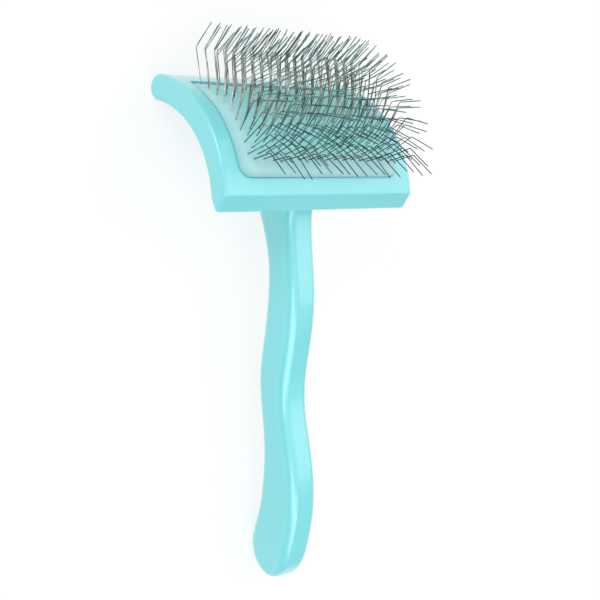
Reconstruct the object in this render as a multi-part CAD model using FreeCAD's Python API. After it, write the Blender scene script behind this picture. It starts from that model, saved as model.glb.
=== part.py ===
import FreeCAD, Part
import math
import os
import random

# A curved slicker brush, lying on its back with the pins upward.
# X runs along the head, Y from the handle's butt to the head's nose, Z up from the resting plane.
# Profiles are drawn in the YZ plane. An angle is measured from +Z towards +Y.

# ---- head block: a curved wooden block with an arched front and back
NOSE_HALF_LENGTH = 57.2
LIP_HALF_LENGTH = 59.2
FRONT_CENTRE = (52.5, -6.7)
FRONT_RADIUS = 57.3
BACK_CENTRE = (49.3, -7.9)
BACK_START_ANGLE = 6.0
NOSE_ANGLE = 75.8
NOSE_RADIUS = 5.9
LIP_MIDDLE = (49.6, 41.8)
LIP_CORNER = (45.3, 44.5)
END_EDGE_ROUNDING = 1.8
LOWER_EDGE_ROUNDING = 1.0

# ---- recess in the head's front, with a ledge round a deeper pocket
RECESS_HALF_LENGTH = 49.2
RECESS_ANGLES = (7.9, 64.6)
RECESS_CORNERS = (6.0, 2.4)
LEDGE_RADIUS = 53.9
LEDGE_WIDTH = 1.6
POCKET_RADIUS = 53.2

# ---- what lies in the recess, from the ledge outwards
TAPE_THICKNESS = 0.2
CLOTH_THICKNESS = 1.1
CLOTH_CLEARANCE = 0.3
CUSHION_HALF_LENGTH = 49.0
CUSHION_ANGLES = (8.15, 63.0)
CUSHION_GAP = 0.2
CUSHION_EDGE_ROUNDING = 2.0
CUSHION_CENTRE = (56.5, 4.9)
CUSHION_RADIUS = 50.0

# ---- pins: staples of steel wire, each with two bent legs
WIRE_DIAMETER = 0.45
PIN_HOLE_DIAMETER = 0.65
ROWS = 18
STAPLES_PER_ROW = 9
PIN_PITCH = 5.3
FIRST_ROOT_ANGLE = 68.7
ROOT_ANGLE_STEP = 3.26
FIRST_STEM_ANGLE = 95.8
STEM_FAN = 86.0
STEM_FAN_POWER = 1.7
LONGEST_STEM = 16.2
STEM_SHORTENING = 6.2
STEM_SHORTENING_POWER = 3.0
TIP_LENGTH = 13.6
KNEE_BEND = 55.0
KNEE_RADIUS = 1.4
CROWN_CORNER_RADIUS = 0.7
CROWN_RADIUS = 53.65
LEAN_SCATTER = 3.4
TWIST_SCATTER = 4.0
SIDE_SCATTER = 1.2
BEND_SCATTER = 3.5
TURN_SCATTER = 4.0
SCATTER_SEED = 485

# ---- handle: an S-shaped board, (Y, centre height, depth) at each station from the neck down
HANDLE_WIDTH = 17.3
HANDLE_ROUNDING = 5.0
HANDLE_STATIONS = [
    (46.0, 25.1, 23.4),
    (27.0, 26.9, 17.8),
    (6.0, 26.6, 18.8),
    (-14.0, 23.0, 19.8),
    (-31.0, 19.2, 18.8),
    (-46.0, 18.7, 17.3),
    (-62.0, 20.1, 18.6),
    (-80.0, 20.2, 22.2),
    (-97.0, 17.2, 25.4),
    (-111.0, 13.0, 25.8),
]
HANDLE_BUTT = [(-123.2, 19.0), (-126.4, 12.4), (-123.2, 5.4)]
NECK_FRONT = (60.0, 44.0)
NECK_BACK = [(94.0, 30.0), (86.0, 18.6), (73.0, 11.6), (58.0, 10.4)]
GLUE_THICKNESS = 0.15

# ---- countersunk wood screws from the pocket into the neck
SCREW_ANGLES = (13.0, 32.0)
SCREW_LENGTH = 25.0
SCREW_SHANK_DIAMETER = 3.5
SCREW_HEAD_DIAMETER = 7.0
SCREW_CONE_HEIGHT = 2.2
SCREW_POINT_HEIGHT = 3.5
SCREW_POINT_RADIUS = 0.3
SCREW_SINK = 0.1
DRIVE_SLOT = (3.6, 0.8, 1.4)

# ---- extra size of the cutting and blank shapes, so that they pass right through what they cut
HEAD_BLANK_HALF = 70.0
END_CUTTER_HALF = 140.0
END_CUTTER_OVERRUN = 1.0
END_CUTTER_DEPTH = 2.0
ARCH_BLANK_MARGIN = 4.0
ARCH_EXTRA_ANGLE = 5.0
ARCH_EXTRA_LENGTH = 5.0
RECESS_CUTTER_HEIGHT = 8.0
CUSHION_BLANK_THICKNESS = 15.0
BORE_BELOW_CROWN = 0.6
SCREW_MOUTH_HEIGHT = 1.0
NECK_ZONE_ANGLES = (-8.0, 88.0)
NECK_ZONE_DEPTH = 30.0
NECK_ZONE_HALF_LENGTH = 20.0
END_FACE_TEST = 0.99

X_AXIS = FreeCAD.Vector(1, 0, 0)


def direction(angle):
    """The unit (y, z) direction at an angle from +Z towards +Y."""
    return math.sin(math.radians(angle)), math.cos(math.radians(angle))


def polar(centre, radius, angle):
    """The (y, z) point at a radius and angle round a centre."""
    y, z = direction(angle)
    return centre[0] + radius * y, centre[1] + radius * z


def at(x, point):
    """A (y, z) profile point as a 3-D vector in the plane X = x."""
    return FreeCAD.Vector(x, point[0], point[1])


def extrude_profile(edges, width):
    """A solid of the closed YZ profile, centred on X = 0."""
    wire = Part.Wire(edges)
    wire.translate(FreeCAD.Vector(-width / 2, 0, 0))
    return Part.Face(wire).extrude(FreeCAD.Vector(width, 0, 0))


def arch(centre, inner, outer, angles, half_length):
    """A bent slab between two radii and two angles, with square corners."""
    first, last = angles
    corners = [
        at(-half_length, polar(centre, inner, first)),
        at(half_length, polar(centre, inner, first)),
        at(half_length, polar(centre, outer, first)),
        at(-half_length, polar(centre, outer, first)),
    ]
    face = Part.Face(Part.makePolygon(corners + corners[:1]))
    slab = face.revolve(at(0, centre), -X_AXIS, last - first)
    return slab if slab.ShapeType == "Solid" else Part.Solid(slab)


def rounded_arch(centre, inner, outer, angles, half_length, inset):
    """The same bent slab, however thin, with the recess's corner radii less the inset."""
    tall = arch(centre, inner - ARCH_BLANK_MARGIN, outer + ARCH_BLANK_MARGIN, angles, half_length)
    middle = polar(centre, outer, sum(angles) / 2)[0]
    for corner, near_nose in zip(RECESS_CORNERS, (False, True)):
        upright = [
            edge for edge in tall.Edges
            if isinstance(edge.Curve, Part.Line)
            and abs(edge.tangentAt(edge.FirstParameter).x) < 1e-6
            and (edge.CenterOfMass.y > middle) == near_nose
        ]
        tall = tall.makeFillet(corner - inset, upright)
    wide_angles = (angles[0] - ARCH_EXTRA_ANGLE, angles[1] + ARCH_EXTRA_ANGLE)
    layer = arch(centre, inner, outer, wide_angles, half_length + ARCH_EXTRA_LENGTH)
    return tall.common(layer).Solids[0]


def nose_geometry():
    """The nose circle's centre and the back arc's radius, which make the outline smooth."""
    nose = polar(FRONT_CENTRE, FRONT_RADIUS - NOSE_RADIUS, NOSE_ANGLE)
    gap = math.hypot(nose[0] - BACK_CENTRE[0], nose[1] - BACK_CENTRE[1])
    return nose, gap - NOSE_RADIUS


def end_cutter(side, nose):
    """The space beyond one end face, which leans so that the head is longest at its lip."""
    rise = (LIP_CORNER[0] - nose[0], LIP_CORNER[1] - nose[1])
    spread = LIP_HALF_LENGTH - NOSE_HALF_LENGTH
    ends = [
        (NOSE_HALF_LENGTH - spread * END_CUTTER_OVERRUN, -END_CUTTER_OVERRUN),
        (LIP_HALF_LENGTH + spread * END_CUTTER_OVERRUN, 1 + END_CUTTER_OVERRUN),
    ]
    across = (-rise[1], rise[0])
    corners = []
    for half, along in ends:
        corners.append((side * half, nose[0] + rise[0] * along, nose[1] + rise[1] * along))
    for half, along in reversed(ends):
        corners.append((side * END_CUTTER_HALF, nose[0] + rise[0] * along, nose[1] + rise[1] * along))
    side_step = FreeCAD.Vector(0, *across) * END_CUTTER_DEPTH
    points = [FreeCAD.Vector(*corner) - side_step for corner in corners]
    sweep = side_step * 2
    return Part.Face(Part.makePolygon(points + points[:1])).extrude(sweep)


def make_head_block():
    nose, back_radius = nose_geometry()
    back_end_angle = math.degrees(math.atan2(nose[0] - BACK_CENTRE[0], nose[1] - BACK_CENTRE[1]))
    front_start = polar(FRONT_CENTRE, FRONT_RADIUS, 0)
    front_end = polar(FRONT_CENTRE, FRONT_RADIUS, NOSE_ANGLE)
    nose_tip = polar(nose, NOSE_RADIUS, (NOSE_ANGLE + back_end_angle + 180) / 2)
    back_end = polar(BACK_CENTRE, back_radius, back_end_angle)
    back_start = polar(BACK_CENTRE, back_radius, BACK_START_ANGLE)
    front_middle = polar(FRONT_CENTRE, FRONT_RADIUS, NOSE_ANGLE / 2)
    back_middle = polar(BACK_CENTRE, back_radius, (BACK_START_ANGLE + back_end_angle) / 2)
    outline = [
        Part.Arc(at(0, front_start), at(0, front_middle), at(0, front_end)).toShape(),
        Part.Arc(at(0, front_end), at(0, nose_tip), at(0, back_end)).toShape(),
        Part.Arc(at(0, back_end), at(0, back_middle), at(0, back_start)).toShape(),
        Part.Arc(at(0, back_start), at(0, LIP_MIDDLE), at(0, LIP_CORNER)).toShape(),
        Part.LineSegment(at(0, LIP_CORNER), at(0, front_start)).toShape(),
    ]
    block = extrude_profile(outline, 2 * HEAD_BLANK_HALF)
    for side in (-1, 1):
        block = block.cut(end_cutter(side, nose))

    def touches(edge, point):
        middle = edge.CenterOfMass
        return abs(middle.x) < 1 and math.hypot(middle.y - point[0], middle.z - point[1]) < 0.01

    lower = [e for e in block.Edges if touches(e, front_start) or touches(e, LIP_CORNER)]
    block = block.makeFillet(LOWER_EDGE_ROUNDING, lower)
    ends = [
        edge for face in block.Faces
        if isinstance(face.Surface, Part.Plane) and abs(face.normalAt(0, 0).x) > END_FACE_TEST
        for edge in face.Edges
    ]
    return block.makeFillet(END_EDGE_ROUNDING, ends)


def make_recess():
    """The two-level hollow that is cut out of the head's front."""
    ledge_angle = math.degrees(LEDGE_WIDTH / LEDGE_RADIUS)
    first, last = RECESS_ANGLES
    top = FRONT_RADIUS + RECESS_CUTTER_HEIGHT
    half = RECESS_HALF_LENGTH
    upper = rounded_arch(FRONT_CENTRE, LEDGE_RADIUS, top, RECESS_ANGLES, half, 0)
    pocket_angles = (first + ledge_angle, last - ledge_angle)
    half -= LEDGE_WIDTH
    pocket = rounded_arch(FRONT_CENTRE, POCKET_RADIUS, top, pocket_angles, half, LEDGE_WIDTH)
    return upper, pocket


def make_rim_tape(pocket):
    """A flat ring of adhesive tape on the ledge."""
    clear_angle = math.degrees(CLOTH_CLEARANCE / LEDGE_RADIUS)
    angles = (RECESS_ANGLES[0] + clear_angle, RECESS_ANGLES[1] - clear_angle)
    half = RECESS_HALF_LENGTH - CLOTH_CLEARANCE
    outer = LEDGE_RADIUS + TAPE_THICKNESS
    ring = rounded_arch(FRONT_CENTRE, LEDGE_RADIUS, outer, angles, half, CLOTH_CLEARANCE)
    return ring.cut(pocket)


def make_foundation_cloth():
    """The cloth backing that the staples are pushed through."""
    clear_angle = math.degrees(CLOTH_CLEARANCE / LEDGE_RADIUS)
    angles = (RECESS_ANGLES[0] + clear_angle, RECESS_ANGLES[1] - clear_angle)
    half = RECESS_HALF_LENGTH - CLOTH_CLEARANCE
    inner = LEDGE_RADIUS + TAPE_THICKNESS
    outer = inner + CLOTH_THICKNESS
    return rounded_arch(FRONT_CENTRE, inner, outer, angles, half, CLOTH_CLEARANCE)


def make_cushion():
    """The soft pad, whose outer face is rounder than the head, with a rounded outer edge."""
    inner = LEDGE_RADIUS + TAPE_THICKNESS + CLOTH_THICKNESS
    outer = inner + CUSHION_BLANK_THICKNESS
    half = CUSHION_HALF_LENGTH
    slab = rounded_arch(FRONT_CENTRE, inner, outer, CUSHION_ANGLES, half, CUSHION_GAP)
    crowned = Part.makeCylinder(CUSHION_RADIUS, 2 * half, at(-half, CUSHION_CENTRE), X_AXIS)
    pad = slab.common(crowned).Solids[0]
    outer_face = max(
        (f for f in pad.Faces if isinstance(f.Surface, Part.Cylinder)
         and abs(f.Surface.Radius - CUSHION_RADIUS) < 1e-6),
        key=lambda f: f.Area,
    )
    return pad.makeFillet(CUSHION_EDGE_ROUNDING, outer_face.Edges)


def stem_angle(row):
    """The stems stand nearly parallel at the nose end and fan out towards the handle."""
    return FIRST_STEM_ANGLE - STEM_FAN * (row / (ROWS - 1)) ** STEM_FAN_POWER


def crown_point(row):
    """Where a row's stems start, under the cloth, and how long each stem is up to its knee."""
    root = polar(CUSHION_CENTRE, CUSHION_RADIUS, FIRST_ROOT_ANGLE - ROOT_ANGLE_STEP * row)
    y, z = direction(stem_angle(row))
    dy, dz = root[0] - FRONT_CENTRE[0], root[1] - FRONT_CENTRE[1]
    along = dy * y + dz * z
    depth = along - math.sqrt(along * along - (dy * dy + dz * dz - CROWN_RADIUS ** 2))
    above = LONGEST_STEM - STEM_SHORTENING * (row / (ROWS - 1)) ** STEM_SHORTENING_POWER
    return (root[0] - depth * y, root[1] - depth * z), depth + above


def rounded_path(points, radii):
    """A wire through the points, with an arc of the given radius at each inner point."""
    edges = []
    start = points[0]
    for before, corner, after, radius in zip(points, points[1:], points[2:], radii):
        arriving = (corner - before).normalize()
        leaving = (after - corner).normalize()
        turn = arriving.getAngle(leaving)
        setback = radius * math.tan(turn / 2)
        arc_start = corner - arriving * setback
        arc_end = corner + leaving * setback
        inward = (leaving - arriving).normalize()
        middle = corner + inward * (radius / math.cos(turn / 2) - radius)
        edges.append(Part.LineSegment(start, arc_start).toShape())
        edges.append(Part.Arc(arc_start, middle, arc_end).toShape())
        start = arc_end
    edges.append(Part.LineSegment(start, points[-1]).toShape())
    return Part.Wire(edges)


def make_staple(row, bends, turns):
    """One staple, its crown centred on X = 0. Each tip has its own bend, and turn about its stem."""
    crown, stem_length = crown_point(row)
    angle = stem_angle(row)
    knee = polar(crown, stem_length, angle)
    stem = (at(0, knee) - at(0, crown)).normalize()
    half = PIN_PITCH / 2
    points = []
    for side, bend, turn in zip((-1, 1), bends, turns):
        reach = at(0, polar((0, 0), TIP_LENGTH, angle - bend))
        tip = at(side * half, knee) + FreeCAD.Rotation(stem, turn).multVec(reach)
        leg = [tip, at(side * half, knee), at(side * half, crown)]
        points += leg if side < 0 else leg[::-1]
    path = rounded_path(points, [KNEE_RADIUS, CROWN_CORNER_RADIUS, CROWN_CORNER_RADIUS, KNEE_RADIUS])
    start_direction = (points[1] - points[0]).normalize()
    section = Part.Wire(Part.makeCircle(WIRE_DIAMETER / 2, points[0], start_direction))
    return path.makePipeShell([section], True, False)


def make_stem_bore(row, x):
    """The clearance hole of one leg, from below the crown to above the cushion."""
    crown, stem_length = crown_point(row)
    y, z = direction(stem_angle(row))
    start = at(x, polar(crown, -BORE_BELOW_CROWN, stem_angle(row)))
    return Part.makeCylinder(PIN_HOLE_DIAMETER / 2, stem_length, start, FreeCAD.Vector(0, y, z))


def make_pin_rows():
    """Every row's staples, each set a little unevenly, and the bores that their legs need."""
    scatter = random.Random(SCATTER_SEED)
    rows = []
    bores = []
    for row in range(ROWS):
        crown, _ = crown_point(row)
        y, z = direction(stem_angle(row))
        stem = FreeCAD.Vector(0, y, z)
        side_axis = X_AXIS.cross(stem)
        stagger = PIN_PITCH / 4 * (1 if row % 2 else -1)
        holes = [make_stem_bore(row, side * PIN_PITCH / 2) for side in (-1, 1)]
        staples = []
        for number in range(STAPLES_PER_ROW):
            x = stagger + (number - (STAPLES_PER_ROW - 1) / 2) * 2 * PIN_PITCH
            lean = scatter.uniform(-LEAN_SCATTER, LEAN_SCATTER)
            twist = scatter.uniform(-TWIST_SCATTER, TWIST_SCATTER)
            aside = scatter.uniform(-SIDE_SCATTER, SIDE_SCATTER)
            bends = [KNEE_BEND + scatter.uniform(-BEND_SCATTER, BEND_SCATTER) for _ in range(2)]
            turns = [scatter.uniform(-TURN_SCATTER, TURN_SCATTER) for _ in range(2)]
            moved = []
            for shape in [make_staple(row, bends, turns)] + holes:
                copy = shape.copy()
                copy.rotate(at(0, crown), stem, twist)
                copy.rotate(at(0, crown), side_axis, aside)
                copy.rotate(at(0, crown), X_AXIS, lean)
                copy.translate(FreeCAD.Vector(x, 0, 0))
                moved.append(copy)
            staples.append(moved[0])
            bores.extend(moved[1:])
        rows.append(Part.makeCompound(staples))
    return rows, bores


def make_screws():
    """Two countersunk screws along the arch's normal, and the plain shapes that they displace."""
    screws = []
    sockets = []
    for angle in SCREW_ANGLES:
        y, z = direction(angle)
        inward = FreeCAD.Vector(0, -y, -z)
        top = at(0, polar(FRONT_CENTRE, POCKET_RADIUS - SCREW_SINK, angle))
        shank_radius = SCREW_SHANK_DIAMETER / 2
        head_radius = SCREW_HEAD_DIAMETER / 2
        shank_length = SCREW_LENGTH - SCREW_CONE_HEIGHT - SCREW_POINT_HEIGHT
        cone = Part.makeCone(head_radius, shank_radius, SCREW_CONE_HEIGHT, top, inward)
        shank_top = top + inward * SCREW_CONE_HEIGHT
        shank = Part.makeCylinder(shank_radius, shank_length, shank_top, inward)
        point_top = shank_top + inward * shank_length
        point = Part.makeCone(shank_radius, SCREW_POINT_RADIUS, SCREW_POINT_HEIGHT, point_top, inward)
        body = cone.fuse([shank, point]).removeSplitter()
        mouth = Part.makeCylinder(head_radius, SCREW_MOUTH_HEIGHT, top, -inward)
        sockets.append(body.fuse(mouth))
        length, width, depth = DRIVE_SLOT
        slots = []
        for turn in (0, 90):
            slot = Part.makeBox(length, width, depth, FreeCAD.Vector(-length / 2, -width / 2, -depth))
            slot.rotate(FreeCAD.Vector(0, 0, 0), FreeCAD.Vector(0, 0, 1), turn)
            slot.rotate(FreeCAD.Vector(0, 0, 0), X_AXIS, -angle)
            slot.translate(top)
            slots.append(slot)
        screws.append(body.cut(slots))
    return Part.makeCompound(screws), sockets


def make_handle():
    """The S-shaped board with rounded edges, its neck end still uncut."""
    front = [(y, centre + depth / 2) for y, centre, depth in HANDLE_STATIONS]
    back = [(y, centre - depth / 2) for y, centre, depth in reversed(HANDLE_STATIONS)]
    outline = [NECK_FRONT] + front + HANDLE_BUTT + back + NECK_BACK[::-1]
    curve = Part.BSplineCurve()
    curve.interpolate([at(0, p) for p in outline])
    closing = Part.LineSegment(at(0, outline[-1]), at(0, outline[0]))
    board = extrude_profile([curve.toShape(), closing.toShape()], HANDLE_WIDTH)
    long_edges = [
        e for e in board.Edges
        if isinstance(e.Curve, Part.BSplineCurve) and abs(abs(e.CenterOfMass.x) - HANDLE_WIDTH / 2) < 1e-3
    ]
    return board.makeFillet(HANDLE_ROUNDING, long_edges)


def save(name, shape):
    shape.exportStep("parts/" + name + ".step")
    print(name, "solids", len(shape.Solids), "valid", shape.isValid(), "volume", round(shape.Volume, 2))


def main():
    os.makedirs("parts", exist_ok=True)
    _, back_radius = nose_geometry()
    upper, pocket = make_recess()
    screws, sockets = make_screws()
    rows, bores = make_pin_rows()

    head = make_head_block().cut([upper, pocket] + sockets)
    save("head_block", head)

    board = make_handle()
    half = NECK_ZONE_HALF_LENGTH
    glue_inner = back_radius - GLUE_THICKNESS
    neck_zone_outer = back_radius + NECK_ZONE_DEPTH
    head_zone = arch(BACK_CENTRE, glue_inner, neck_zone_outer, NECK_ZONE_ANGLES, half)
    handle = board.cut([head_zone] + sockets)
    save("handle", handle.Solids[0])

    glue_space = arch(BACK_CENTRE, glue_inner, back_radius, NECK_ZONE_ANGLES, half)
    glue = board.common(glue_space).cut(sockets)
    save("neck_glue_film", glue.Solids[0])
    save("neck_screws", screws)

    save("rim_tape", make_rim_tape(pocket).Solids[0])
    save("foundation_cloth", make_foundation_cloth().cut(bores).Solids[0])
    save("cushion", make_cushion().cut(bores).Solids[0])

    for number, row in enumerate(rows, start=1):
        save("pin_row_%02d" % number, row)


main()
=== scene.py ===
import math

import bpy
import numpy as np
from mathutils import Matrix, Vector


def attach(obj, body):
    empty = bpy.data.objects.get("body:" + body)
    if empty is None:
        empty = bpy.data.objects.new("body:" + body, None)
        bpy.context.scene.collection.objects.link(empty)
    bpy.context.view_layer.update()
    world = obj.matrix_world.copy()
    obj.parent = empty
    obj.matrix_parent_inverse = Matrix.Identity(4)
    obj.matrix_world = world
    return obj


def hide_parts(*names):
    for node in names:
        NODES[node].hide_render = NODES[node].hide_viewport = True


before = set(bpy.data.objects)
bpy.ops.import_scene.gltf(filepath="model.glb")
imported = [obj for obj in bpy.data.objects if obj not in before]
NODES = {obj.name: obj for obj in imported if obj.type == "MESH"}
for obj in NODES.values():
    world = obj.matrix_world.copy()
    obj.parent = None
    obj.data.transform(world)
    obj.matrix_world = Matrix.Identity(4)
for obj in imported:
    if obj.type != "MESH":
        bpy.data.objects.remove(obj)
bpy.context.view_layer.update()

MM = 0.001
MM_PER_M = 1000.0

# ---- the curved pad, in mm in the YZ plane. An angle is measured from +Z towards +Y.
FRONT_CENTRE = (52.5, -6.7)
PAD_CENTRE = (56.5, 4.9)
PAD_RADIUS = 50.0
PAD_FLOOR_RADIUS = 55.2
PAD_ANGLES = (8.0, 63.0)
PAD_HALF_LENGTH = 48.75
PAD_SHIFT = -0.35
RIM_RADIUS = 57.3
PAD_CORNERS = (2.2, 2.2, 5.8, 5.8)
SHARPEST_CORNER = 0.15
# each side's shoulder: its width, and how far its edge is sunk below the head's front
PAD_SHOULDERS = {
    "left": (5.0, 0.5),
    "right": (5.0, 1.2),
    "nose": (9.0, 1.8),
    "lower": (2.4, 0.5),
}
SHOULDER_BLEND = 0.5
SHOULDER_RINGS = 12
CORNER_STEPS = 12
PAD_STEP = 0.5
WALL_SHARES = (0.0, 0.35, 0.7)
ROOT_GAP = 1.5
DIMPLE_DEPTH = 0.3
DIMPLE_RADIUS = 0.7
PAD_WAVE = 0.09
WAVE_X = 0.21
WAVE_START = 0.6
WAVE_Z = 0.33
WAVE_SKEW = 0.05

# ---- where the looks change, in mm
TIP_ZONE = (11.0, 15.0)
# from here down to the lower rows the wire is darkened: a painted shade
LOWER_ROW_PAINTED_SHADE_Y = (98.0, 66.0)
# where the painted bounce light among the pins fades out towards the pad's ends and lip
PIN_EDGE_X = (39.0, 48.0)
PIN_EDGE_Y = (75.0, 67.0)
PAINT_ROUNDING = 1.8

# ---- colours in pairs, darker and lighter, and the part of a pattern's range that they span
PAINT = ((0.176, 0.680, 0.720), (0.192, 0.710, 0.750))
PAINT_STREAKS = ((0.93, 0.965, 0.97), (1.0, 1.0, 1.0))
STREAK_STRENGTH = 0.55
# the rubber among the pins is painted lighter and more saturated, a painted bounce light; the
# border pair is the rubber's own colour
RUBBER_PAINTED_LIGHT_AMONG_PINS = ((0.300, 0.800, 0.810), (0.345, 0.830, 0.840))
RUBBER_BORDER = ((0.340, 0.640, 0.660), (0.375, 0.670, 0.685))
STEM_STEEL = ((0.06, 0.10, 0.085), (0.74, 0.72, 0.67))
# painted reflection: the tips' steel is tinted green-grey as if mirroring the teal pad and head
TIP_STEEL_WITH_PAINTED_REFLECTION = ((0.08, 0.15, 0.13), (0.48, 0.61, 0.57))
# painted shade: a dark teal-grey multiplied into the wire of the lower rows
LOWER_ROW_PAINTED_SHADE = (0.27, 0.37, 0.33, 1.0)
SCREW_STEEL = ((0.52, 0.51, 0.48), (0.66, 0.65, 0.62))
COTTON = ((0.40, 0.42, 0.40), (0.62, 0.63, 0.60))
DRIED_GLUE = ((0.62, 0.50, 0.27), (0.78, 0.68, 0.42))
# painted shade: the tape is dark teal so that it stands for the shade in the slot at the pad's nose
# end
SLOT_SHADE_TAPE = ((0.02, 0.20, 0.20), (0.03, 0.26, 0.26))
WHITE = (1.0, 1.0, 1.0, 1.0)
NOISE_SPAN = (0.3, 0.7)
STREAK_SPAN = (0.35, 0.62)
STEM_SPAN = (0.40, 0.66)
TIP_SPAN = (0.38, 0.66)
WEAVE_SPAN = (0.2, 0.9)

# ---- the camera, fitted to the head's outline
CAMERA_PLACE = (-0.4430, 0.0400, 0.4965)
CAMERA_RIGHT = (0.72162, -0.03439, 0.69143)
CAMERA_UP = (0.06262, 0.99791, -0.01572)
CAMERA_LENS = 83.80
SENSOR_WIDTH = 36.0
CLIP_START = 0.01

# ---- softboxes: azimuth, elevation, power, size
LIGHT_TARGET = (0.0, 0.0, 0.03)
LIGHT_DISTANCE = 1.3
LIGHTS = [
    (70, 40, 5.4, 1.3),
    (315, 25, 4.97, 0.7),
    (180, 55, 4.9, 0.9),
    (240, 55, 3.57, 0.7),
    (300, 55, 0.7, 0.7),
    (0, 85, 0.8, 0.7),
]
AMBIENT = 0.45
FLOOR_HALF = 8.0
FLOOR_GLOW = 0.77
FLOOR_SHADE = 0.2


# ---------------------------------------------------------------- materials
class Nodes:
    """A small helper that adds and joins the nodes of one material."""

    def __init__(self, name):
        self.material = bpy.data.materials.new(name)
        self.material.use_nodes = True
        self.tree = self.material.node_tree
        self.shader = self.tree.nodes["Principled BSDF"]

    def add(self, kind, settings=None, **inputs):
        node = self.tree.nodes.new(kind)
        for key, value in (settings or {}).items():
            setattr(node, key, value)
        for key, value in inputs.items():
            self.put(node.inputs[key.replace("_", " ")], value)
        return node

    def put(self, socket, value):
        if isinstance(value, bpy.types.NodeSocket):
            self.tree.links.new(value, socket)
        else:
            socket.default_value = value

    def set(self, **inputs):
        for key, value in inputs.items():
            self.put(self.shader.inputs[key.replace("_", " ")], value)

    def place(self, x, y, z):
        """Object coordinates in mm, each multiplied by its own number."""
        where = self.add("ShaderNodeTexCoord").outputs["Object"]
        scale = tuple(s * MM_PER_M for s in (x, y, z))
        return self.add("ShaderNodeMapping", Vector=where, Scale=scale).outputs["Vector"]

    def axis(self, name):
        """One object coordinate in mm."""
        return self.add("ShaderNodeSeparateXYZ", Vector=self.place(1, 1, 1)).outputs[name]

    def noise(self, scale, detail, roughness=0.5):
        """Noise whose features are 1 / scale mm long, with one scale for all axes or one each."""
        scales = scale if isinstance(scale, tuple) else (scale,) * 3
        made = self.add(
            "ShaderNodeTexNoise",
            Vector=self.place(*scales), Scale=1.0, Detail=detail, Roughness=roughness,
        )
        return made.outputs["Fac"]

    def stripes(self, across, per_mm):
        made = self.add(
            "ShaderNodeTexWave",
            {"bands_direction": across},
            Scale=1.0, Distortion=0.6, Vector=self.place(per_mm, per_mm, per_mm),
        )
        return made.outputs["Fac"]

    def ramp(self, factor, colours, span=NOISE_SPAN):
        made = self.add("ShaderNodeValToRGB", Fac=factor)
        for element, position, colour in zip(made.color_ramp.elements, span, colours):
            element.position = position
            element.color = (*colour, 1.0)
        return made.outputs["Color"]

    def spread(self, factor, low, high):
        """A noise turned into a number between low and high."""
        made = self.add("ShaderNodeMapRange", Value=factor)
        for key, value in zip(("From Min", "From Max"), NOISE_SPAN):
            made.inputs[key].default_value = value
        made.inputs["To Min"].default_value = low
        made.inputs["To Max"].default_value = high
        return made.outputs["Result"]

    def fade(self, value, start, end):
        """A smooth change from 0 to 1 while the value goes from start to end."""
        made = self.add("ShaderNodeMapRange", {"interpolation_type": "SMOOTHSTEP"}, Value=value)
        self.put(made.inputs["From Min"], start)
        self.put(made.inputs["From Max"], end)
        return made.outputs["Result"]

    def math(self, operation, *values):
        made = self.add("ShaderNodeMath", {"operation": operation})
        for socket, value in zip(made.inputs, values):
            self.put(socket, value)
        return made.outputs[0]

    def mix(self, blend, factor, first, second):
        made = self.add("ShaderNodeMix", {"data_type": "RGBA", "blend_type": blend})
        # with colours, these sockets are the factor, A and B, and output 2 is the result
        for socket, value in zip((0, 6, 7), (factor, first, second)):
            self.put(made.inputs[socket], value)
        return made.outputs[2]

    def bump(self, height, depth, strength, normal=None):
        """A bumped normal, with the depth in mm."""
        made = self.add("ShaderNodeBump", Height=height, Distance=depth * MM, Strength=strength)
        if normal is not None:
            self.put(made.inputs["Normal"], normal)
        return made.outputs["Normal"]


def painted_wood(name, grain):
    """Satin paint over sanded wood, whose grain runs along one axis: X for 0, Y for 1."""
    n = Nodes(name)
    stretch = [0.9, 0.9, 0.9]
    stretch[grain] = 0.02
    streaks = n.noise(tuple(stretch), 4.0, 0.6)
    clouds = n.noise(0.03, 2.0)
    peel = n.noise(2.2, 2.0)
    tint = n.ramp(clouds, PAINT)
    streaked = n.ramp(streaks, PAINT_STREAKS, STREAK_SPAN)
    rounded = n.add("ShaderNodeBevel", {"samples": 8}, Radius=PAINT_ROUNDING * MM)
    fine = n.bump(peel, 0.03, 0.25, rounded.outputs["Normal"])
    n.set(
        Base_Color=n.mix("MULTIPLY", STREAK_STRENGTH, tint, streaked),
        Roughness=n.spread(streaks, 0.30, 0.40),
        Normal=n.bump(streaks, 0.06, 0.35, fine),
        Specular_IOR_Level=0.8,
        Coat_Weight=1.0,
        Coat_Roughness=0.16,
        Coat_IOR=1.5,
    )
    return n.material


def soft_rubber():
    """Matt foam rubber with a fine pebbled skin. Among the pins it is painted lighter and more
    saturated, a painted bounce light that makes up for the pins' shade; the border keeps the
    rubber's own colour.
    """
    n = Nodes("pad_rubber")
    pebbles = n.noise(1.6, 3.0, 0.65)
    mottle = n.noise(0.12, 3.0)
    at_ends = n.fade(n.math("ABSOLUTE", n.axis("X")), *PIN_EDGE_X)
    at_lip = n.fade(n.axis("Y"), *PIN_EDGE_Y)
    border = n.math("MAXIMUM", at_ends, at_lip)
    # painted light: the colour among the pins is lighter and more saturated than the rubber's own
    painted_light_among_pins = n.ramp(mottle, RUBBER_PAINTED_LIGHT_AMONG_PINS)
    n.set(
        Base_Color=n.mix("MIX", border, painted_light_among_pins, n.ramp(mottle, RUBBER_BORDER)),
        Roughness=n.spread(pebbles, 0.62, 0.78),
        Normal=n.bump(pebbles, 0.08, 0.4),
        Sheen_Weight=0.4,
        Sheen_Roughness=0.5,
    )
    return n.material


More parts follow.
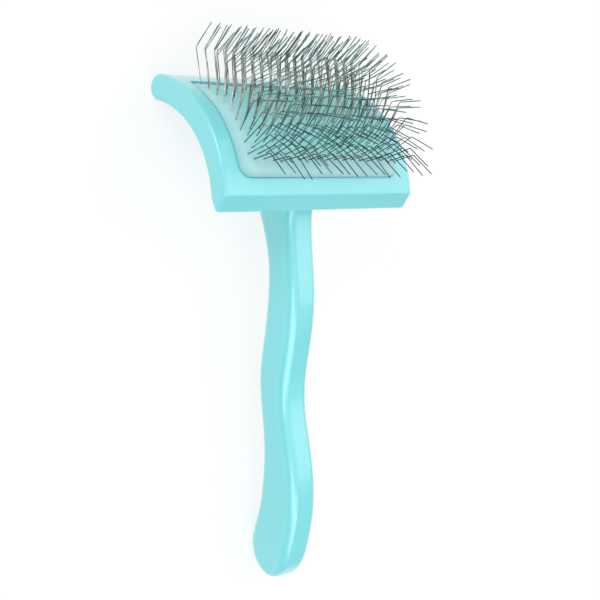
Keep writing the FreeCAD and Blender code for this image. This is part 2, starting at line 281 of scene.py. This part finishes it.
def pin_steel():
    """Drawn steel wire: warm bright stems, tips tinted green-grey as a painted reflection of the
    teal pad and head, and lower rows darkened by a painted shade.
    """
    n = Nodes("pin_steel")
    patches = n.noise(0.12, 3.0)
    draw = n.noise(9.0, 2.0)
    stem = n.ramp(patches, STEM_STEEL, STEM_SPAN)
    # painted reflection: the green-grey tip colour
    tip = n.ramp(patches, TIP_STEEL_WITH_PAINTED_REFLECTION, TIP_SPAN)
    from_axis = n.add("ShaderNodeVectorMath", {"operation": "DISTANCE"}, Vector=n.place(0, 1, 1))
    from_axis.inputs[1].default_value = (0.0, *PAD_CENTRE)
    zone = [PAD_RADIUS + reach for reach in TIP_ZONE]
    steel = n.mix("MIX", n.fade(from_axis.outputs["Value"], *zone), stem, tip)
    # painted shade: the wire darkens towards the lower rows
    painted_shade_on_lower_rows = n.fade(n.axis("Y"), *LOWER_ROW_PAINTED_SHADE_Y)
    n.set(
        Base_Color=n.mix("MULTIPLY", painted_shade_on_lower_rows, steel, LOWER_ROW_PAINTED_SHADE),
        Metallic=1.0,
        Roughness=n.spread(draw, 0.20, 0.34),
        Normal=n.bump(draw, 0.01, 0.2),
    )
    return n.material


def screw_steel():
    n = Nodes("screw_steel")
    turned = n.noise(4.0, 3.0)
    n.set(
        Base_Color=n.ramp(turned, SCREW_STEEL),
        Metallic=1.0,
        Roughness=n.spread(turned, 0.25, 0.42),
        Normal=n.bump(turned, 0.02, 0.3),
    )
    return n.material


def woven_cloth():
    """Plain-woven cotton: two crossed sets of threads."""
    n = Nodes("woven_cloth")
    weave = n.math("MAXIMUM", n.stripes("X", 0.4), n.stripes("Y", 0.4))
    n.set(
        Base_Color=n.ramp(weave, COTTON, WEAVE_SPAN),
        Roughness=n.spread(weave, 0.8, 0.95),
        Normal=n.bump(weave, 0.2, 0.6),
    )
    return n.material


def thin_film(name, colours, roughness):
    """Glue or tape: a slightly uneven film."""
    n = Nodes(name)
    uneven = n.noise(0.6, 4.0)
    n.set(
        Base_Color=n.ramp(uneven, colours),
        Roughness=n.spread(uneven, roughness, roughness + 0.15),
        Normal=n.bump(uneven, 0.05, 0.4),
    )
    return n.material


def paint(node, material):
    slots = NODES[node].data.materials
    slots.clear()
    slots.append(material)


# ---------------------------------------------------------------- the pad
def direction(angle):
    return math.sin(math.radians(angle)), math.cos(math.radians(angle))


def stem_roots():
    """Where every wire leaves the pad, in mm, read from the wires' own meshes."""
    roots = []
    for name in sorted(n for n in NODES if n.startswith("pin_row_")):
        mesh = NODES[name].data
        points = np.array([v.co for v in mesh.vertices], float) / MM
        edges = np.array([e.vertices[:] for e in mesh.edges], int)
        from_axis = np.hypot(points[:, 1] - PAD_CENTRE[0], points[:, 2] - PAD_CENTRE[1])
        reach = from_axis - PAD_RADIUS
        first, last = reach[edges[:, 0]], reach[edges[:, 1]]
        crossing = (first * last < 0) & (points[edges].mean(1)[:, 2] > 0)
        share = (first / (first - last))[crossing, None]
        start, end = points[edges[crossing, 0]], points[edges[crossing, 1]]
        hits = start * (1 - share) + end * share
        hits = hits[np.argsort(hits[:, 0])]
        splits = np.where(np.diff(hits[:, 0]) > ROOT_GAP)[0] + 1
        roots += [group.mean(0) for group in np.split(hits, splits)]
    return np.array(roots)


def inset_outline(half_x, half_s, inset, straight_steps):
    """Points round the pad's rounded outline, inset, at matching places for every inset.

    The sides are taken in turn, and straight_steps has the steps along the short sides and
    along the long ones.
    """
    x, s = half_x - inset, half_s - inset
    corners = [Vector(c) for c in ((x, s), (-x, s), (-x, -s), (x, -s))]
    radii = [max(corner - inset, SHARPEST_CORNER) for corner in PAD_CORNERS]
    points = []
    for side in range(4):
        count = straight_steps[side % 2]
        along = (corners[side] - corners[side - 1]).normalized()
        inward = Vector((-along.y, along.x))
        start = corners[side - 1] + along * radii[side - 1]
        end = corners[side] - along * radii[side]
        points += [start.lerp(end, i / count) for i in range(count)]
        for i in range(CORNER_STEPS):
            turn = math.pi / 2 * i / CORNER_STEPS
            swing = along * math.sin(turn) + inward * (1 - math.cos(turn))
            points.append(end + swing * radii[side])
    return points


def shoulder_at(x, s, half_arc):
    """The shoulder's width and its edge's sink at a point: mostly as at the nearest side."""
    away = {
        "left": PAD_HALF_LENGTH + x,
        "right": PAD_HALF_LENGTH - x,
        "nose": half_arc - s,
        "lower": half_arc + s,
    }
    weights = {side: (distance + SHOULDER_BLEND) ** -2 for side, distance in away.items()}
    total = sum(weights.values())
    return [
        sum(PAD_SHOULDERS[side][i] * weights[side] for side in away) / total
        for i in range(2)
    ]


def face_distance(angle):
    """From the head's centre, how far out the pad's crowned face is in a direction."""
    y, z = direction(angle)
    dy, dz = FRONT_CENTRE[0] - PAD_CENTRE[0], FRONT_CENTRE[1] - PAD_CENTRE[1]
    along = dy * y + dz * z
    return -along + math.sqrt(along * along - (dy * dy + dz * dz - PAD_RADIUS ** 2))


def ring_insets(half_arc):
    """How far in each ring of the pad's face is: close together on the shoulder, then even."""
    widest = max(width for width, _ in PAD_SHOULDERS.values())
    deepest = half_arc - SHARPEST_CORNER
    steps = round((deepest - widest) / PAD_STEP)
    shoulder = [
        widest * (1 - math.cos(math.pi / 2 * i / SHOULDER_RINGS))
        for i in range(SHOULDER_RINGS + 1)
    ]
    return shoulder + [widest + (deepest - widest) * (i + 1) / steps for i in range(steps)]


def pad_rings():
    """Rings of points in mm: up the pad's side wall, then inwards across its face."""
    middle_angle = sum(PAD_ANGLES) / 2
    half_angle = (PAD_ANGLES[1] - PAD_ANGLES[0]) / 2
    half_arc = math.radians(half_angle) * PAD_FLOOR_RADIUS
    straight_steps = [
        round(2 * (half - max(PAD_CORNERS)) / PAD_STEP)
        for half in (half_arc, PAD_HALF_LENGTH)
    ]

    def lift(x, s, inset, share):
        """A point at a share of the pad's height, from its floor at 0 to its face at 1."""
        angle = middle_angle + math.degrees(s / PAD_FLOOR_RADIUS)
        width, sink = shoulder_at(x, s, half_arc)
        edge = RIM_RADIUS - sink
        in_band = max(0.0, 1 - inset / width)
        top = edge + (face_distance(angle) - edge) * math.sqrt(1 - in_band ** 2)
        y, z = direction(angle)
        reach = PAD_FLOOR_RADIUS + (top - PAD_FLOOR_RADIUS) * share
        return x + PAD_SHIFT, FRONT_CENTRE[0] + reach * y, FRONT_CENTRE[1] + reach * z

    levels = [(0.0, share) for share in WALL_SHARES]
    levels += [(inset, 1.0) for inset in ring_insets(half_arc)]
    rings = []
    for inset, share in levels:
        outline = inset_outline(PAD_HALF_LENGTH, half_arc, inset, straight_steps)
        rings.append([lift(x, s, inset, share) for x, s in outline])
    return np.array(rings, float)


def worn_face(face):
    """The face's points in mm, with a slight wave and a dimple round each pin."""
    outward = face - np.array([0.0, *FRONT_CENTRE])
    outward[:, 0] = 0.0
    outward /= np.linalg.norm(outward, axis=1)[:, None]
    nearest = np.full(len(face), np.inf)
    for root in stem_roots():
        nearest = np.minimum(nearest, ((face - root) ** 2).sum(1))
    dimple = DIMPLE_DEPTH * np.exp(-nearest / DIMPLE_RADIUS ** 2)
    x, z = face[:, 0], face[:, 2]
    wave = PAD_WAVE * np.sin(x * WAVE_X + WAVE_START) * np.sin(z * WAVE_Z + x * WAVE_SKEW)
    return face + outward * (wave - PAD_WAVE - dimple)[:, None]


def make_pad():
    rings = pad_rings()
    count = rings.shape[1]
    points = rings.reshape(-1, 3)
    face_start = len(WALL_SHARES) * count
    points[face_start:] = worn_face(points[face_start:])

    faces = []
    for ring in range(len(rings) - 1):
        a, b = ring * count, (ring + 1) * count
        for i in range(count):
            j = (i + 1) % count
            faces.append((a + i, a + j, b + j, b + i))
    last = (len(rings) - 1) * count
    faces.append(tuple(range(last, last + count)))
    faces.append(tuple(range(count - 1, -1, -1)))
    mesh = bpy.data.meshes.new("soft_pad")
    mesh.from_pydata((points * MM).tolist(), [], faces)
    mesh.validate()
    mesh.polygons.foreach_set("use_smooth", [True] * len(mesh.polygons))
    pad = bpy.data.objects.new("soft_pad", mesh)
    bpy.context.scene.collection.objects.link(pad)
    return pad


# ---------------------------------------------------------------- stage
def soft_light(azimuth, elevation, power, size):
    """A round softbox. Azimuth 0 is towards +Y and 90 towards +X, and elevation is upwards."""
    a, e = math.radians(azimuth), math.radians(elevation)
    way = Vector((math.sin(a) * math.cos(e), math.cos(a) * math.cos(e), math.sin(e)))
    data = bpy.data.lights.new("softbox", "AREA")
    data.shape = "DISK"
    data.size = size
    data.energy = power
    light = bpy.data.objects.new("softbox", data)
    light.location = Vector(LIGHT_TARGET) + way * LIGHT_DISTANCE
    light.rotation_mode = "QUATERNION"
    light.rotation_quaternion = (-way).to_track_quat("-Z", "Y")
    bpy.context.scene.collection.objects.link(light)


def make_floor():
    corners = [(x * FLOOR_HALF, y * FLOOR_HALF, 0) for x, y in ((-1, -1), (1, -1), (1, 1), (-1, 1))]
    mesh = bpy.data.meshes.new("floor")
    mesh.from_pydata(corners, [], [(0, 1, 2, 3)])
    floor = bpy.data.objects.new("floor", mesh)
    bpy.context.scene.collection.objects.link(floor)
    n = Nodes("pale_floor")
    n.set(
        Base_Color=(FLOOR_SHADE, FLOOR_SHADE, FLOOR_SHADE, 1.0),
        Roughness=0.9,
        Emission_Color=WHITE,
        Emission_Strength=FLOOR_GLOW,
    )
    mesh.materials.append(n.material)


def make_camera():
    right = Vector(CAMERA_RIGHT).normalized()
    back = right.cross(Vector(CAMERA_UP)).normalized()
    up = back.cross(right)
    data = bpy.data.cameras.new("camera")
    data.lens = CAMERA_LENS
    data.sensor_width = SENSOR_WIDTH
    data.clip_start = CLIP_START
    camera = bpy.data.objects.new("camera", data)
    turn = Matrix((right, up, back)).transposed().to_4x4()
    camera.matrix_world = Matrix.Translation(CAMERA_PLACE) @ turn
    bpy.context.scene.collection.objects.link(camera)
    bpy.context.scene.camera = camera


def make_light():
    world = bpy.data.worlds.new("studio")
    world.use_nodes = True
    background = world.node_tree.nodes["Background"]
    background.inputs["Color"].default_value = WHITE
    background.inputs["Strength"].default_value = AMBIENT
    bpy.context.scene.world = world
    for settings in LIGHTS:
        soft_light(*settings)


pad = make_pad()
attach(pad, "brush")
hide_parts("cushion")
pad.data.materials.append(soft_rubber())

paint("head_block", painted_wood("painted_head", 0))
paint("handle", painted_wood("painted_handle", 1))
paint("neck_screws", screw_steel())
paint("neck_glue_film", thin_film("dried_glue", DRIED_GLUE, 0.3))
# the tape's dark teal is painted shade for the slot above it
paint("rim_tape", thin_film("tape", SLOT_SHADE_TAPE, 0.6))
paint("foundation_cloth", woven_cloth())
wire = pin_steel()
for name in NODES:
    if name.startswith("pin_row_"):
        paint(name, wire)

make_floor()
make_camera()
make_light()
bpy.context.scene.view_settings.view_transform = "Standard"
